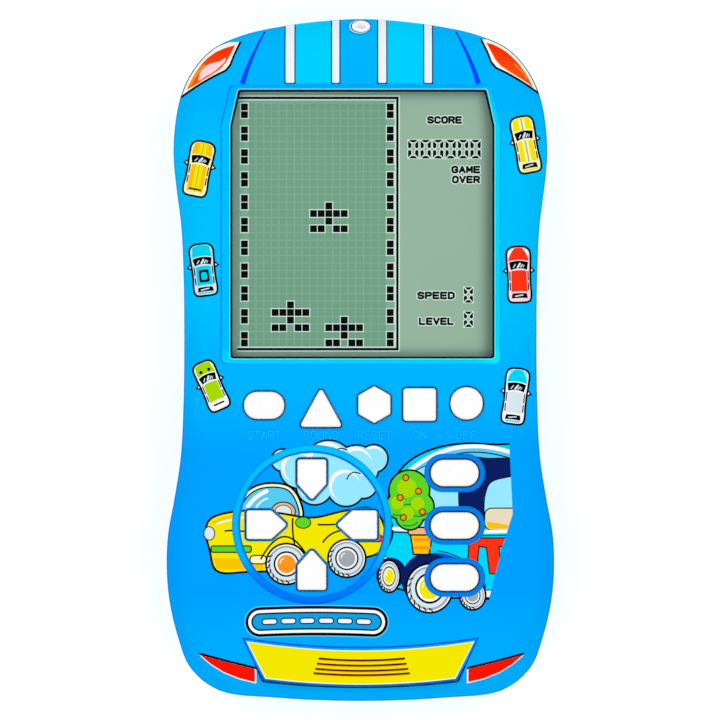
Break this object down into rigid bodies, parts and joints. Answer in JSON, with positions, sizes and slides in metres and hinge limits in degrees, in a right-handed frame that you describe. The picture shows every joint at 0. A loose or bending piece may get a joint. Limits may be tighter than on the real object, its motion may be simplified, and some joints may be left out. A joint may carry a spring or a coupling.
{
  "type": "handheld lcd game",
  "caption": "Car-shaped handheld LCD game: two shells, recessed window over a segment display, sprung function, direction and action keys, and a hinged battery door.",
  "frame": {"origin": "under the middle of the case, on the surface that it lies on", "axes": "+X to the player's right, +Y from the keys to the screen along the case, +Z out of the screen"},
  "size_m": [0.0978, 0.172, 0.0271],
  "materials": {
    "case": "semi-gloss moulded plastic, bright blue",
    "key": "semi-gloss moulded plastic, white",
    "window": "clear polished acrylic",
    "display_glass": "clear polished",
    "display_film": "satin film, grey-green",
    "tray": "moulded, black",
    "strip": "layered conductive rubber",
    "silicone": "moulded silicone, pale grey",
    "board": "laminate with green solder mask",
    "resin": "black resin",
    "capacitor_sleeve": "shrunk sleeve",
    "resistor_body": "painted, tan",
    "brass": "rolled sheet",
    "piezo": "silvered",
    "cell_jacket": "printed metal jacket, satin",
    "contact": "nickel-plated",
    "wire_red": "soft insulation, red",
    "wire_black": "soft insulation, black",
    "screw": "zinc-plated"
  },
  "bodies": {
    "housing": {"front_shell": "case", "back_shell": "case", "screen_window": "window", "display_upper_glass": "display_glass", "display_lower_glass": "display_glass", "display_polariser": "display_film", "display_reflector": "display_film", "display_tray": "tray", "strip_connector": "strip", "function_key_pad": "silicone", "direction_key_pad": "silicone", "action_key_pad": "silicone", "main_board": "board", "chip_blob": "resin", "buzzer_transistor": "resin", "power_capacitor": "capacitor_sleeve", "timing_resistor": "resistor_body", "buzzer_disc": "brass", "buzzer_ceramic": "piezo", "battery_cell_lower": "cell_jacket", "battery_cell_upper": "cell_jacket", "positive_contact": "contact", "negative_contact": "contact", "negative_spring": "contact", "bridge_contact": "contact", "bridge_spring": "contact", "battery_wire_red": "wire_red", "buzzer_wire_red": "wire_red", "battery_wire_black": "wire_black", "buzzer_wire_black": "wire_black", "case_screw_1": "screw", "case_screw_2": "screw", "case_screw_3": "screw", "case_screw_4": "screw", "case_screw_5": "screw", "case_screw_6": "screw", "board_screw_1": "screw", "board_screw_2": "screw", "board_screw_3": "screw", "board_screw_4": "screw"},
    "key_start_pause": {"key_start_pause": "key"},
    "key_sound": {"key_sound": "key"},
    "key_reset": {"key_reset": "key"},
    "key_on": {"key_on": "key"},
    "key_off": {"key_off": "key"},
    "key_up": {"key_up": "key"},
    "key_left": {"key_left": "key"},
    "key_down": {"key_down": "key"},
    "key_right": {"key_right": "key"},
    "key_action_top": {"key_action_top": "key"},
    "key_action_middle": {"key_action_middle": "key"},
    "key_action_bottom": {"key_action_bottom": "key"},
    "battery_door": {"battery_door": "case", "battery_door_screw": "screw"}
  },
  "joints": [
    {"name": "key_start_pause_press", "type": "slide", "parent": "housing", "child": "key_start_pause", "axis": [0, 0, -1], "range_m": [0, 0.0012], "stiffness_N_per_m": 600, "deforming": ["function_key_pad"]},
    {"name": "key_sound_press", "type": "slide", "parent": "housing", "child": "key_sound", "axis": [0, 0, -1], "range_m": [0, 0.0012], "stiffness_N_per_m": 600, "deforming": ["function_key_pad"]},
    {"name": "key_reset_press", "type": "slide", "parent": "housing", "child": "key_reset", "axis": [0, 0, -1], "range_m": [0, 0.0012], "stiffness_N_per_m": 600, "deforming": ["function_key_pad"]},
    {"name": "key_on_press", "type": "slide", "parent": "housing", "child": "key_on", "axis": [0, 0, -1], "range_m": [0, 0.0012], "stiffness_N_per_m": 600, "deforming": ["function_key_pad"]},
    {"name": "key_off_press", "type": "slide", "parent": "housing", "child": "key_off", "axis": [0, 0, -1], "range_m": [0, 0.0012], "stiffness_N_per_m": 600, "deforming": ["function_key_pad"]},
    {"name": "key_up_press", "type": "slide", "parent": "housing", "child": "key_up", "axis": [0, 0, -1], "range_m": [0, 0.0012], "stiffness_N_per_m": 600, "deforming": ["direction_key_pad"]},
    {"name": "key_left_press", "type": "slide", "parent": "housing", "child": "key_left", "axis": [0, 0, -1], "range_m": [0, 0.0012], "stiffness_N_per_m": 600, "deforming": ["direction_key_pad"]},
    {"name": "key_down_press", "type": "slide", "parent": "housing", "child": "key_down", "axis": [0, 0, -1], "range_m": [0, 0.0012], "stiffness_N_per_m": 600, "deforming": ["direction_key_pad"]},
    {"name": "key_right_press", "type": "slide", "parent": "housing", "child": "key_right", "axis": [0, 0, -1], "range_m": [0, 0.0012], "stiffness_N_per_m": 600, "deforming": ["direction_key_pad"]},
    {"name": "key_action_top_press", "type": "slide", "parent": "housing", "child": "key_action_top", "axis": [0, 0, -1], "range_m": [0, 0.0012], "stiffness_N_per_m": 600, "deforming": ["action_key_pad"]},
    {"name": "key_action_middle_press", "type": "slide", "parent": "housing", "child": "key_action_middle", "axis": [0, 0, -1], "range_m": [0, 0.0012], "stiffness_N_per_m": 600, "deforming": ["action_key_pad"]},
    {"name": "key_action_bottom_press", "type": "slide", "parent": "housing", "child": "key_action_bottom", "axis": [0, 0, -1], "range_m": [0, 0.0012], "stiffness_N_per_m": 600, "deforming": ["action_key_pad"]},
    {"name": "battery_door_hinge", "type": "hinge", "parent": "housing", "child": "battery_door", "pos_m": [0, 0.04625, 0.0003], "axis": [1, 0, 0], "range_deg": [0, 75]}
  ]
}
